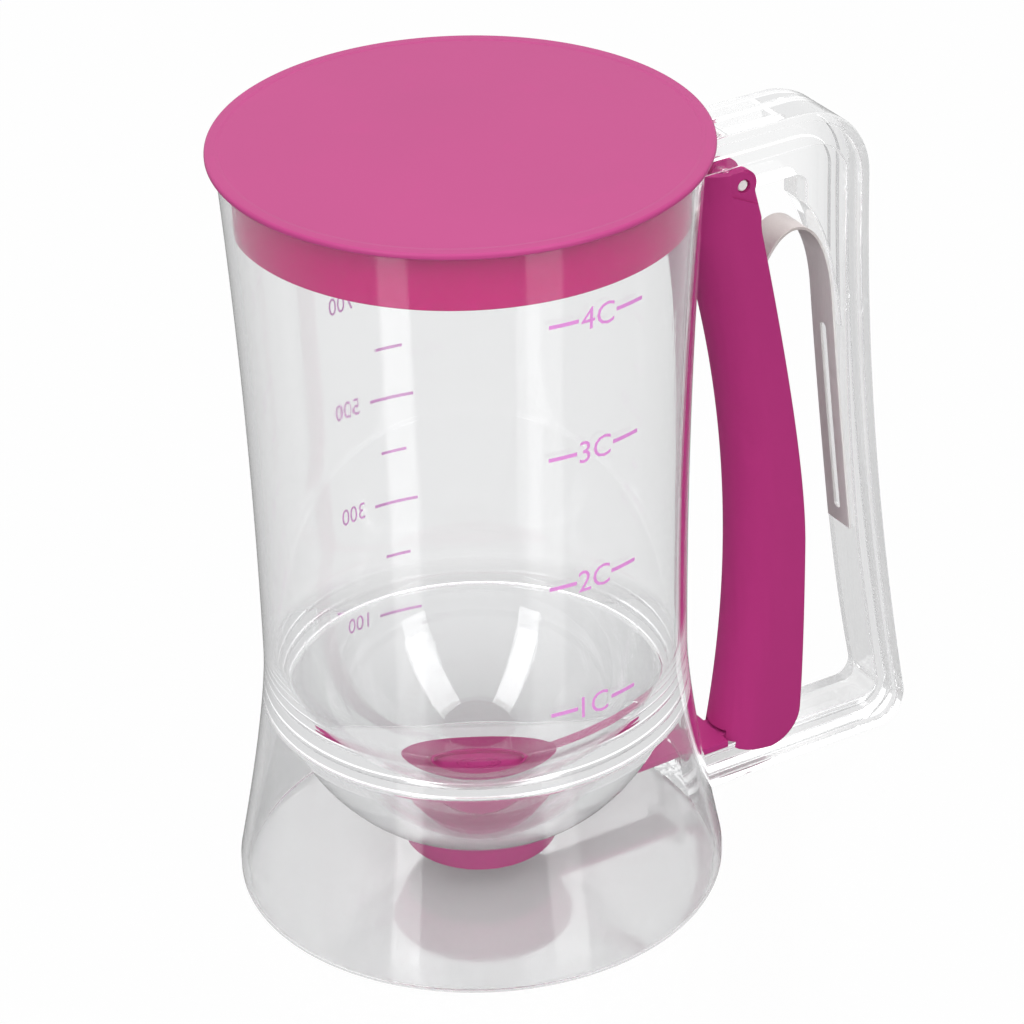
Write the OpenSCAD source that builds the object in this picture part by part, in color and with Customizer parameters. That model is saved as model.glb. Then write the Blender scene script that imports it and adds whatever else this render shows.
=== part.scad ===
/* [Container] */
// Height of the container's rim above the table
height = 185.5; // [170:0.5:205]
// Outer radius of the rim
rim_r = 53.6; // [50:0.1:58]
// Outer radius of the waist, the narrowest part
waist_r = 49.1; // [44:0.1:50]
// Height of the waist
waist_z = 60; // [54:0.5:70]
// Outer radius of the foot of the skirt
base_r = 57.2; // [54:0.1:60]
// Height of the straight edge of the foot
foot_h = 3; // [1:0.5:5]
// Height that the skirt's flare aims at
flare_z = 44; // [36:0.5:50]
// Thickness of the clear wall
wall = 2; // [1.6:0.1:2.4]

/* [Bowl and outlet] */
// Underside of the flat floor round the outlet
floor_z = 12.4; // [11.5:0.1:15]
// Thickness of that floor
floor_t = 1.8; // [1.2:0.1:2.4]
// Radius of the outlet, inside the collar that lines the hole in the floor
outlet_r = 12.2; // [9:0.1:12.4]
// Thickness of that collar
collar_t = 0.8; // [0.6:0.1:1]
// How far the flat floor cuts into the round of the bowl
floor_cut = 2.2; // [1.6:0.1:3]
// Height at which the inner bowl begins to close in
shoulder_z = 66; // [62:0.5:76]
// Place of the groove between bowl and skirt, as a share of the skirt's curve
groove_at = 0.66; // [0.6:0.01:0.72]
// Half the width of the groove
groove_r = 1.2; // [0.8:0.1:1.8]

/* [Lid] */
// Thickness of the lid's top
lid_t = 1.5; // [1.2:0.1:3]
// How far the lid's edge stands out past the rim
lid_over = 2.1; // [1:0.1:4]
// Depth of the plug inside the rim
plug_d = 14; // [8:0.5:20]
// Thickness of the plug's wall
plug_t = 1.8; // [1.2:0.1:2.6]
// Clearance between the plug and the wall
plug_gap = 0.3; // [0.2:0.05:0.6]

/* [Handle] */
// How far the top of the handle lies below the rim
arm_drop = 11.5; // [8:0.5:16]
// Depth of the top arm
arm_d = 9.8; // [8:0.2:13]
// Distance of the grip's back from the axis, at the top
grip_x = 104; // [100:0.5:112]
// Distance of the grip's back from the axis, at the foot
reach = 118; // [114:0.5:124]
// Depth of the grip at the top
grip_d = 5.3; // [4:0.1:6.2]
// Depth of the grip at the foot
foot_d = 7.3; // [5:0.1:8.5]
// Radius of the handle's top corner
top_corner = 20; // [12:1:26]
// Radius of the handle's bottom corner
foot_corner = 8; // [5:0.5:11]
// Width of the outer flange
flange_w = 16; // [13.5:0.5:17]
// Thickness of the outer flange
flange_t = 2.4; // [1.6:0.1:3]
// Width of the core under the flange
core_w = 12.5; // [10:0.1:12.8]
// Width of the rib under the top arm
rib_w = 9.4; // [7:0.1:10]
// Depth of that rib
rib_d = 7.2; // [6:0.1:9]

/* [Trigger] */
// Width of the trigger
trigger_w = 17; // [16.6:0.1:20]
// Thickness of the trigger's wall
trigger_t = 2; // [1.4:0.1:2.1]
// Distance of the hinge pin from the axis
hinge_x = 69; // [67:0.1:70]
// Radius of the hinge pin
pin_r = 1.35; // [1:0.05:1.6]
// Distance from the axis of the foremost point of the trigger's round front
front_x = 70.6; // [69.8:0.1:71.5]
// Height of that point
front_z = 63; // [58:0.5:70]
// Depth of the trigger at its fullest
depth = 16.9; // [15:0.1:17.5]
// Depth of the trigger at its neck
neck_depth = 15.8; // [14.5:0.1:16.5]
// Height of the trigger's foot above the table
trigger_low = 6.3; // [4:0.1:7.5]
// Running clearance round the pin
pin_gap = 0.06; // [0.03:0.01:0.1]

/* [Spring] */
// Width of the leaf spring
spring_w = 9; // [6:0.1:10]
// Thickness of the leaf spring
spring_t = 0.7; // [0.4:0.05:0.9]
// Width of the slot in it
slot_w = 2.4; // [1.5:0.1:4]
// Height of the spring's free end
spring_low = 58; // [50:0.5:70]

/* [Valve] */
// Outer radius of the valve housing where it meets the bowl
housing_r = 21.5; // [19:0.1:21.6]
// Outer radius of the housing at its foot
housing_foot_r = 17.8; // [17:0.1:19]
// Thickness of the housing's floor
housing_t = 2.3; // [1.5:0.1:3]
// Radius of the opening in the housing's floor
nozzle_r = 10.5; // [8:0.1:11]
// Radius of the slider's plate
plate_r = 13.5; // [13:0.1:13.8]
// Thickness of the slider
slider_t = 1.9; // [1.6:0.1:2.4]
// Width of the slider's bar
bar_w = 8; // [6:0.5:11]
// Width of the slider's tab, outside the skirt
tab_w = 14; // [12:0.5:15]
// Thickness of the housing's roof, between the floor and the slider
roof_t = 1; // [0.8:0.1:1.4]
// Thickness of the seal that is let into that roof
seal_t = 0.5; // [0.3:0.1:0.6]
// Running clearance above and below the slider
run_gap = 0.1; // [0.05:0.05:0.2]
// Clearance beside the slider and round its hook
side_gap = 0.3; // [0.2:0.05:0.5]

/* [Hidden] */
$fn = 96;
CLEAR = [0.86, 0.88, 0.89, 0.45];
PINK = [0.66, 0.20, 0.46];
STEEL = [0.72, 0.70, 0.70];
OVER = 1;   // how far a cut runs past the surface it opens

// The point at share t of a quadratic curve from a to c that leaves and arrives towards b
function along(a, b, c, t) = a * pow(1 - t, 2) + 2 * b * t * (1 - t) + c * t * t;
function curve(a, b, c, n) = [for (i = [0:n]) along(a, b, c, i / n)];
// Points on a cubic curve from a to d
function cubic(a, b, c, d, n) = [
    for (i = [0:n]) let (t = i / n, s = 1 - t)
        a * pow(s, 3) + 3 * b * s * s * t + 3 * c * s * t * t + d * pow(t, 3)
];
// Points on an arc about a centre, from one angle to another
function arc(centre, r, from, to, n) = [
    for (i = [0:n]) let (a = from + (to - from) * i / n) centre + r * [cos(a), sin(a)]
];

// ---- container ----
foot_top = [base_r, foot_h];
waist_aim = [waist_r, flare_z];
waist = [waist_r, waist_z];
function barrel_r(z) = waist_r + (rim_r - waist_r) * pow((z - waist_z) / (height - waist_z), 2);
skirt_steps = 14;
barrel_steps = 16;
skirt_out = curve(foot_top, waist_aim, waist, skirt_steps);
barrel_out = [
    for (i = [1:barrel_steps]) let (z = waist_z + (height - waist_z) * i / barrel_steps)
        [barrel_r(z), z]
];
barrel_in = [
    for (i = [barrel_steps:-1:0])
        let (z = shoulder_z + (height - shoulder_z) * i / barrel_steps)
            [barrel_r(z) - wall, z]
];
// The point where the skirt's inner face meets the groove
groove_pt = along(foot_top, waist_aim, waist, groove_at) - [wall, 0];
groove_z = groove_pt[1];
// The bowl's outer face: a sphere through the groove, with its pole under the floor
bowl_edge_r = groove_pt[0] - 2 * groove_r;
pole_z = floor_z - floor_cut;
bowl_h = groove_z - pole_z;
bowl_r = (bowl_edge_r * bowl_edge_r + bowl_h * bowl_h) / (2 * bowl_h);
bowl_mid_z = pole_z + bowl_r;
flat_a = asin((bowl_mid_z - floor_z) / bowl_r);
edge_a = asin((bowl_mid_z - groove_z) / bowl_r);
bowl_out = arc([0, bowl_mid_z], bowl_r, -flat_a, -edge_a, 18);
groove = arc([bowl_edge_r + groove_r, groove_z], groove_r, 180, 0, 8);
hole_r = outlet_r + collar_t;
// The bowl's inner face: part of an ellipse from the shoulder down to the floor
in_r = barrel_r(shoulder_z) - wall;
in_h = shoulder_z - pole_z - floor_t;
floor_top = floor_z + floor_t;
floor_a = asin((shoulder_z - floor_top) / in_h);
bowl_in = [
    for (i = [1:20]) let (a = floor_a * i / 20) [in_r * cos(a), shoulder_z - in_h * sin(a)]
];
skirt_in = [
    for (i = [1:skirt_steps]) let (t = groove_at * (1 - i / skirt_steps))
        along(foot_top, waist_aim, waist, t) - [wall, 0]
];

// ---- valve, from the floor down ----
roof_z = floor_z - roof_t;
slider_top = roof_z - run_gap;
slider_low = slider_top - slider_t;
sill_z = slider_low - 2 * run_gap;      // channel floor, window sill and arm top
housing_low = sill_z - housing_t;
channel_r = plate_r + side_gap;
seal_in_r = outlet_r + 0.4;
seal_out_r = plate_r;

// ---- handle ----
arm_top = height - arm_drop;
arm_low = arm_top - arm_d;
rib_low = arm_low - rib_d;
lean = atan((reach - grip_x) / (arm_top / 2));
back_aim = arm_top * 0.5;      // height that the grip's back curve aims at
front_aim = arm_top * 0.42;    // the same for its front
inner_corner = top_corner / 2;
inner_foot_corner = foot_corner / 2;

// Side outline of a C-shaped loop that opens towards the container
function c_loop(top, x_top, r_top, aim, x_foot, r_foot, low) = concat(
    [[0, top]],
    arc([x_top - r_top, top - r_top], r_top, 90, 0, 12),
    curve([x_top, top - r_top], [x_top, aim],
          [x_foot - r_foot, low + r_foot] + r_foot * [cos(lean), sin(lean)], 14),
    arc([x_foot - r_foot, low + r_foot], r_foot, lean, -90, 8),
    [[0, low]]
);
back_line = c_loop(arm_top, grip_x, top_corner, back_aim, reach, foot_corner, 0);
under_flange = c_loop(
    arm_top - flange_t, grip_x - flange_t, top_corner - flange_t, back_aim,
    reach - flange_t, foot_corner - flange_t, flange_t
);
grip_front = grip_x - grip_d;
// Distance from the axis of the grip's front at a height
front_top = [grip_front, arm_low - inner_corner];
front_foot = [reach - foot_d, sill_z] + inner_foot_corner * [cos(lean) - 1, sin(lean) + 1];
function grip_at(z) = let (
    drop = front_top[1] - z,
    fall = front_top[1] - front_aim,
    bend = front_top[1] - 2 * front_aim + front_foot[1],
    t = drop / (fall + sqrt(fall * fall - bend * drop))
) along(front_top, [grip_front, front_aim], front_foot, t)[0];
opening = c_loop(
    arm_low, grip_front, inner_corner, front_aim,
    reach - foot_d, inner_foot_corner, sill_z
);
// The rib's gusset, in the top corner of the opening
gusset_x = grip_front - 10.2;
gusset_low = rib_low - 8;
gusset = concat(
    [[0, arm_low + OVER], [grip_x - flange_t - OVER, arm_low + OVER]],
    [[grip_x - flange_t - OVER, gusset_low - 35]],
    [[grip_front + OVER, gusset_low - 35]],
    curve([grip_front + 0.2, gusset_low - 35], [grip_front - 3.2, gusset_low - 8],
          [gusset_x, gusset_low], 8),
    arc([gusset_x - 3, rib_low - 3], 3, 0, 90, 5),
    [[0, rib_low]]
);

// ---- trigger ----
hinge_z = (arm_low + rib_low) / 2 - 0.5;
half_w = trigger_w / 2;
ear_top = arm_low - 0.4;
brow_z = hinge_z - 13.5;         // the straight neck begins here
front_bow = (front_x - (hinge_x - 10.8)) / pow(brow_z - front_z, 2);
function front_at(z) = front_x - front_bow * pow(min(z, brow_z) - front_z, 2);
rear_full = front_x + depth;
rear_neck = front_at(brow_z) + neck_depth;
rear_foot = rear_full - 0.9;
neck_z = hinge_z - 12;
full_z = front_z - 3;            // the trigger is fullest here
full_aim = full_z + 24;
foot_aim = full_z - 30;
loft_low = trigger_low - OVER;
loft_top = ear_top + OVER;
loft_steps = 22;
loft_z = [for (i = [0:loft_steps]) loft_low + (loft_top - loft_low) * i / loft_steps];
// A U-shaped section: round at the front, straight at the rear
function u_section(x_front, x_rear, half, z) = concat(
    [for (i = [0:14]) let (a = 90 + 180 * i / 14)
        [x_front + half_w + half * cos(a), half * sin(a), z]],
    [[x_rear, -half, z], [x_rear, half, z]]
);
hook_top = slider_top + 3.8;
front_wall_low = slider_top + 0.9;
foot_r = 9;
hook_x = front_at(hook_top) + trigger_t + 0.5;
hook_t = 1.8;
tab_end = front_at(front_wall_low) + 0.1;
toe_z = trigger_low + 2.5;       // the foot rises to this height at the front
// Side outline that trims the trigger's top and its foot
trim = concat(
    [[hinge_x - 30, toe_z], [hinge_x - 30, ear_top], [hinge_x - 0.5, ear_top]],
    curve([hinge_x - 0.5, ear_top], [hinge_x + 2.2, ear_top - 1.5],
          [hinge_x + 3.2, hinge_z - 2], 5),
    [[rear_neck, hinge_z - 9]],
    curve([rear_neck, neck_z], [rear_full, full_aim], [rear_full, full_z], 12),
    curve([rear_full, full_z], [rear_full, foot_aim], [rear_foot, trigger_low + foot_r], 6),
    arc([rear_foot - foot_r, trigger_low + foot_r], foot_r, 0, -90, 8),
    [[tab_end + 7.3, trigger_low + 0.7], [tab_end + 3, trigger_low + 1.5]],
    [[tab_end + 0.9, toe_z]]
);
catch_x = hook_x + hook_t + 0.5;
catch_low = slider_low + 1.1;
catch_top = hook_top + 9;
hook_half = bar_w / 2;
boss_r = pin_r + 2.4;
boss_in = rib_w / 2 + side_gap;
facet_d = 0.5;
facet = [
    [hinge_x - 3.5, hinge_z + 10], [hinge_x - 3.5, hinge_z - 1.7],
    [hinge_x + 10, hinge_z - 8.6], [hinge_x + 10, hinge_z + 10]
];

// ---- leaf spring ----
root = [hinge_x + 6.2, hinge_z - 29];
knee = [grip_front - 2.1, hinge_z - 38];
grip_gap = 0.4;
bend_z = knee[1] - 27;
spring_end = [grip_at(spring_low) - spring_t / 2 - grip_gap, spring_low];
spring_bend = [grip_at(bend_z) - spring_t / 2 - 1.35, bend_z];
spring_line = concat(
    cubic(root, [hinge_x + 12, hinge_z - 10.5], knee + [-2, 25.5], knee, 16),
    [for (i = [1:10]) along(knee, spring_bend, spring_end, i / 10)]
);
// A line thickened to both sides
function unit(v) = v / norm(v);
function side(pts, i) = let (
    a = pts[max(i - 1, 0)], b = pts[min(i + 1, len(pts) - 1)], d = unit(b - a)
) [-d[1], d[0]];
function ribbon(pts, t) = concat(
    [for (i = [0:len(pts) - 1]) pts[i] + side(pts, i) * t / 2],
    [for (i = [len(pts) - 1:-1:0]) pts[i] - side(pts, i) * t / 2]
);
seat_x = root[0] - spring_t / 2 - 0.1;
seat_t = 2.4;
seat_h = 7;

module container_outside() {
    rotate_extrude()
        polygon(concat([[0, 0], [base_r, 0]], skirt_out, barrel_out, [[0, height]]));
}

// A solid of a side outline, centred on the plane through the spout and the handle
module plate(outline, width) {
    translate([0, width / 2, 0])
        rotate([90, 0, 0])
            linear_extrude(width)
                polygon(outline);
}

module window() {
    arch_half = bar_w;
    arch_top = sill_z + 5.1;
    rise = 2.5;
    arch_r = (arch_half * arch_half + rise * rise) / (2 * rise);
    intersection() {
        translate([waist_r - 10, -arch_half, sill_z])
            cube([base_r - waist_r + 20, 2 * arch_half, arch_top - sill_z]);
        translate([waist_r - 20, 0, arch_top - arch_r])
            rotate([0, 90, 0])
                cylinder(r = arch_r, h = base_r - waist_r + 40);
    }
}

module container() {
    color(CLEAR)
        difference() {
            rotate_extrude()
                polygon(concat(
                    [[base_r, 0]], skirt_out, barrel_out, barrel_in, bowl_in,
                    [[hole_r, floor_top], [hole_r, floor_z]],
                    bowl_out, groove, skirt_in, [[base_r - wall, 0]]
                ));
            window();
        }
}

module pin_hole(r) {
    translate([hinge_x, trigger_w, hinge_z])
        rotate([90, 0, 0])
            cylinder(r = r, h = 2 * trigger_w);
}

module handle_frame() {
    color(CLEAR)
        difference() {
            union() {
                difference() {
                    plate(back_line, flange_w);
                    plate(under_flange, flange_w + OVER);
                }
                difference() {
                    plate(back_line, core_w);
                    plate(opening, core_w + OVER);
                }
                plate(gusset, rib_w);
            }
            container_outside();
            pin_hole(pin_r);
        }
}

module lid() {
    top = height + lid_t;
    edge_r = rim_r + lid_over;
    soft = 0.4;
    plug_low = height - plug_d;
    plug_out_low = barrel_r(plug_low) - wall - plug_gap;
    plug_out_top = barrel_r(height) - wall - plug_gap;
    color(PINK)
        rotate_extrude()
            polygon([
                [0, top], [edge_r - soft, top], [edge_r, top - soft], [edge_r, height + soft],
                [edge_r - soft, height], [plug_out_top, height], [plug_out_low, plug_low + soft],
                [plug_out_low - soft, plug_low], [plug_out_low - plug_t, plug_low],
                [plug_out_top - plug_t, height - lid_t], [0, height - lid_t]
            ]);
}

module loft(rings) {
    n = len(rings[0]);
    top = (len(rings) - 1) * n;
    polyhedron(
        points = [for (ring = rings) each ring],
        faces = concat(
            [[for (i = [0:n - 1]) i]],
            [[for (i = [n - 1:-1:0]) top + i]],
            [for (j = [0:n:top - 1], i = [0:n - 1])
                [j + i, j + n + i, j + n + (i + 1) % n, j + (i + 1) % n]]
        )
    );
}

module trigger_shell() {
    difference() {
        intersection() {
            loft([for (z = loft_z) u_section(front_at(z), rear_full + 5, half_w, z)]);
            plate(trim, trigger_w + OVER);
        }
        loft([
            for (z = loft_z)
                u_section(front_at(z), rear_full + 10, half_w - trigger_t, z + (z - ear_top) * 0.02)
        ]);
        // Room for the rib that the ears straddle
        translate([hinge_x - 30, -boss_in, rib_low - 1.5])
            cube([60, 2 * boss_in, 30]);
    }
}

module trigger() {
    inner_w = trigger_w - 2 * trigger_t;
    foot_half = core_w / 2 + 0.25;
    color(PINK)
        difference() {
            union() {
                trigger_shell();
                // Bosses that bear on the pin beside the rib
                for (s = [-1, 1])
                    translate([hinge_x, s * (boss_in + half_w - OVER) / 2, hinge_z])
                        rotate([90, 0, 0])
                            cylinder(r = boss_r, h = half_w - OVER - boss_in, center = true);
                // Catch behind the slider's hook
                translate([catch_x, -inner_w / 2 - 0.2, catch_low])
                    cube([1.6, inner_w + 0.4, catch_top - catch_low]);
                // Seat that the leaf spring's root lies on
                translate([seat_x - seat_t, -inner_w / 2 - 0.2, root[1] - 4])
                    cube([seat_t, inner_w + 0.4, seat_h]);
            }
            pin_hole(pin_r + pin_gap);
            // The foot straddles the handle's core and has a notch for the slider's neck
            translate([hinge_x - 30, -foot_half, 0])
                cube([60, 2 * foot_half, sill_z + 0.5]);
            translate([hinge_x - 30, -hook_half - side_gap, 0])
                cube([hook_x - hinge_x + 31, 2 * (hook_half + side_gap), front_wall_low]);
            translate([hook_x - 0.4, -hook_half - side_gap, 0])
                cube([hook_t + 0.9, 2 * (hook_half + side_gap), hook_top + 0.8]);
            // Shallow facets on the ears, with a countersunk end to the pin's hole
            for (s = [-1, 1]) {
                translate([0, s * (half_w + 2 - facet_d), 0])
                    plate(facet, 4);
                translate([hinge_x, s * (half_w - facet_d - 0.4), hinge_z])
                    rotate([90, 0, 0])
                        cylinder(r = pin_r + 0.35, h = 1.2, center = true);
            }
        }
}

module trigger_pin() {
    length = trigger_w - 2 * facet_d - 1;
    color(STEEL)
        translate([hinge_x, length / 2, hinge_z])
            rotate([90, 0, 0])
                cylinder(r = pin_r, h = length);
}

module return_spring() {
    slot_low = spring_low + 4 + slot_w / 2;
    slot_top = knee[1] - 9.4;
    color(STEEL)
        difference() {
            plate(ribbon(spring_line, spring_t), spring_w);
            translate([grip_front - 10, -slot_w / 2, slot_low])
                cube([30, slot_w, slot_top - slot_low]);
            for (z = [slot_low, slot_top])
                translate([grip_front - 10, 0, z])
                    rotate([0, 90, 0])
                        cylinder(r = slot_w / 2, h = 30);
        }
}

module valve_slider() {
    tab_start = base_r + 0.3;
    ring_w = 0.8;
    color(PINK)
        difference() {
            union() {
                translate([0, 0, slider_low])
                    cylinder(r = plate_r, h = slider_t);
                translate([0, -plate_r, slider_low])
                    cube([plate_r, 2 * plate_r, slider_t]);
                translate([0, -bar_w / 2, slider_low])
                    cube([tab_start + 1, bar_w, slider_t]);
                translate([tab_start, -tab_w / 2, slider_low])
                    cube([tab_end - tab_start, tab_w, slider_t]);
                translate([tab_end - 1, -hook_half, slider_low])
                    cube([hook_x + hook_t - tab_end + 1, 2 * hook_half, slider_t]);
                translate([hook_x, -hook_half, slider_low])
                    cube([hook_t, 2 * hook_half, hook_top - slider_low]);
            }
            // Two rings cut into the plate under the outlet
            for (r = [4, 5.9])
                translate([0, 0, slider_top - 0.4])
                    difference() {
                        cylinder(r = r, h = OVER);
                        translate([0, 0, -OVER])
                            cylinder(r = r - ring_w, h = 3 * OVER);
                    }
        }
}

module seal_ring() {
    difference() {
        cylinder(r = seal_out_r, h = seal_t);
        translate([0, 0, -OVER])
            cylinder(r = seal_in_r, h = seal_t + 2 * OVER);
    }
}

module valve_housing() {
    soft = 0.6;
    rim_a = acos(housing_r / bowl_r);
    color(PINK)
        difference() {
            // Its top follows the round of the bowl and the flat floor, and a collar lines the hole
            rotate_extrude()
                polygon(concat(
                    [[nozzle_r, housing_low + soft], [nozzle_r + soft, housing_low]],
                    [[housing_foot_r - soft, housing_low], [housing_foot_r, housing_low + soft]],
                    arc([0, bowl_mid_z], bowl_r, -rim_a, -flat_a, 6),
                    [[hole_r, floor_z], [hole_r, floor_top], [outlet_r, floor_top]],
                    [[outlet_r, sill_z], [nozzle_r, sill_z]]
                ));
            // Channel for the slider, roofed and open towards the trigger
            translate([0, 0, sill_z])
                cylinder(r = channel_r, h = roof_z - sill_z);
            translate([0, -channel_r, sill_z])
                cube([housing_r + 5, 2 * channel_r, roof_z - sill_z]);
            translate([0, 0, roof_z])
                seal_ring();
        }
}

module outlet_seal() {
    color([0.92, 0.92, 0.92])
        translate([0, 0, roof_z])
            seal_ring();
}

container();
handle_frame();
lid();
trigger();
trigger_pin();
return_spring();
valve_slider();
valve_housing();
outlet_seal();
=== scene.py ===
import math

import bmesh
import bpy
from bpy.props import FloatProperty, FloatVectorProperty, PointerProperty
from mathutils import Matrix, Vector


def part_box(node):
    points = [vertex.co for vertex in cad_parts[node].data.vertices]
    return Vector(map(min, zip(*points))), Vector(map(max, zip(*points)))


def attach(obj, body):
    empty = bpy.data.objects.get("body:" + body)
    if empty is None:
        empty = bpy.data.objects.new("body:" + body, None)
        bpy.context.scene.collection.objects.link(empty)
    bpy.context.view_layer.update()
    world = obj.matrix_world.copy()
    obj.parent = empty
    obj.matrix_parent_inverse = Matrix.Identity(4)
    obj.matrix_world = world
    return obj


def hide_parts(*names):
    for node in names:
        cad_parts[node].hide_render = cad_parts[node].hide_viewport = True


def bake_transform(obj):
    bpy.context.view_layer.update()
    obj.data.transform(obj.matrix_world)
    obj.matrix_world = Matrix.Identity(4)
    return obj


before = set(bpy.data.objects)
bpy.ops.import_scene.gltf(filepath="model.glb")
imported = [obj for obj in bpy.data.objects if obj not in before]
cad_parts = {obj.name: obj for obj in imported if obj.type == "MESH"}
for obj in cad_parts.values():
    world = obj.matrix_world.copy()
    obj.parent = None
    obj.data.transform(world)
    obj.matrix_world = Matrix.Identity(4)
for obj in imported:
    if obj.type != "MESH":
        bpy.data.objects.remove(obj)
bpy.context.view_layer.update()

bl_info = {
    "name": "Batter dispenser",
    "version": (1, 0, 0),
    "blender": (4, 5, 0),
    "location": "3D View > Sidebar > Dispenser",
    "description": "Builds a clear batter dispenser with its lid, trigger, spring and valve",
    "category": "Object",
}

MM = 0.001
RIM_R = 53.6 * MM
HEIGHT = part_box("container")[1].z
FOOT_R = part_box("container")[1].x
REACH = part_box("handle_frame")[1].x
HINGE_X = (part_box("trigger_pin")[0].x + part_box("trigger_pin")[1].x) / 2
HINGE_Z = (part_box("trigger_pin")[0].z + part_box("trigger_pin")[1].z) / 2
PIN_R = (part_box("trigger_pin")[1].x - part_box("trigger_pin")[0].x) / 2
GRIP_X = 104 * MM
CORE_DEPTH = 5.3 * MM
SEAL_GAP = 0.1 * MM
HOOK_GAP = 0.5 * MM
FOOT_WALL_GAP = 0.9 * MM
TRIGGER_FRONT_X = 70.6 * MM
TRIGGER_DEPTH = 16.9 * MM
TRIGGER_FOOT_ROUND = 9 * MM
EAR_Z = HINGE_Z - 9 * MM
EAR_ROUND_Z = HINGE_Z - 2 * MM
FLARE_STEPS = 22
BARREL_STEPS = 28
BODY_FACETS = 192
RING_FACETS = 128
WHITE = (1.0, 1.0, 1.0, 1.0)
PIN_TINT = (0.93, 0.90, 0.89)


def length(name, description, millimetres):
    """A size that a user can change, shown in the scene's length unit."""
    return FloatProperty(
        name=name, description=description, default=millimetres * MM, min=0.0,
        unit="LENGTH", subtype="DISTANCE", precision=5,
    )


def colour(name, description, default):
    """A colour that a user can change."""
    return FloatVectorProperty(
        name=name, description=description, default=default, size=3,
        min=0.0, max=1.0, subtype="COLOR",
    )


class BodySizes(bpy.types.PropertyGroup):
    """Sizes of the clear container and its handle."""

    waist_r: length("Waist radius", "Outer radius at the narrowest part", 49.1)
    waist_z: length("Waist height", "Height of the narrowest part", 60.0)
    wall: length("Wall", "Thickness of the clear wall", 2.0)
    foot_h: length("Foot height", "Height of the skirt's straight edge", 3.0)
    flare_z: length("Flare height", "Height that the skirt's flare aims at", 44.0)
    floor_z: length("Floor", "Underside of the flat floor round the outlet", 12.4)
    floor_t: length("Floor thickness", "Thickness of the floor round the outlet", 1.8)
    hole_r: length("Hole radius", "Radius of the hole in the floor, outside the collar", 13.0)
    outlet_r: length("Outlet radius", "Radius of the outlet, inside the collar", 12.2)
    shoulder_z: length("Bowl shoulder", "Height at which the bowl closes in", 66.0)
    grip_x: length("Grip top", "Distance of the grip's back from the axis, at the top",
                   GRIP_X / MM)
    reach: length("Grip foot", "Distance of the grip's back from the axis, at the foot",
                  REACH / MM)
    arm_top: length("Arm top", "Height of the handle's top", 174.0)
    arm_low: length("Arm underside", "Height of the top arm's underside", 164.2)
    rib_low: length("Rib underside", "Height of the underside of the hinge rib", 157.0)
    sill_z: length("Sill", "Top of the bottom arm", 9.2)
    flange_w: length("Flange width", "Width of the handle's outer flange", 16.0)
    flange_t: length("Flange thickness", "Thickness of the handle's outer flange", 2.4)
    core_w: length("Core width", "Width of the handle's core", 12.5)
    rib_w: length("Rib width", "Width of the hinge rib", 9.4)


class TriggerSizes(bpy.types.PropertyGroup):
    """Sizes of the trigger, its pin and its spring."""

    width: length("Width", "Width of the trigger", 17.0)
    wall: length("Wall", "Thickness of the trigger's wall", 2.0)
    spring_w: length("Spring width", "Width of the leaf spring", 9.0)
    spring_t: length("Spring thickness", "Thickness of the leaf spring", 0.7)
    slot_w: length("Slot width", "Width of the slot in the spring", 2.4)


class Finishes(bpy.types.PropertyGroup):
    """Colours of the materials."""

    clear: colour("Clear plastic", "Tint of the clear plastic", (0.94, 0.942, 0.945))
    lid: colour("Lid", "Colour of the lid", (0.447, 0.049, 0.203))
    pink: colour("Trigger", "Colour of the trigger and valve", (0.405, 0.03, 0.176))
    ink: colour("Scale ink", "Colour of the printed scales", (0.72, 0.27, 0.66))
    steel: colour("Spring steel", "Colour of the leaf spring", (0.93, 0.91, 0.90))


# ---- shader graphs ----


class Value:
    """An output socket. Arithmetic on it adds Math nodes."""

    def __init__(self, graph, socket):
        self.graph = graph
        self.socket = socket

    def _math(self, operation, *terms):
        return self.graph.add("ShaderNodeMath", {"operation": operation}, dict(enumerate(terms)))

    def __add__(self, other):
        return self._math("ADD", self, other)

    def __sub__(self, other):
        return self._math("SUBTRACT", self, other)

    def __rsub__(self, other):
        return self._math("SUBTRACT", other, self)

    def __mul__(self, other):
        return self._math("MULTIPLY", self, other)

    def __gt__(self, other):
        return self._math("GREATER_THAN", self, other)

    __radd__ = __add__
    __rmul__ = __mul__


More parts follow.
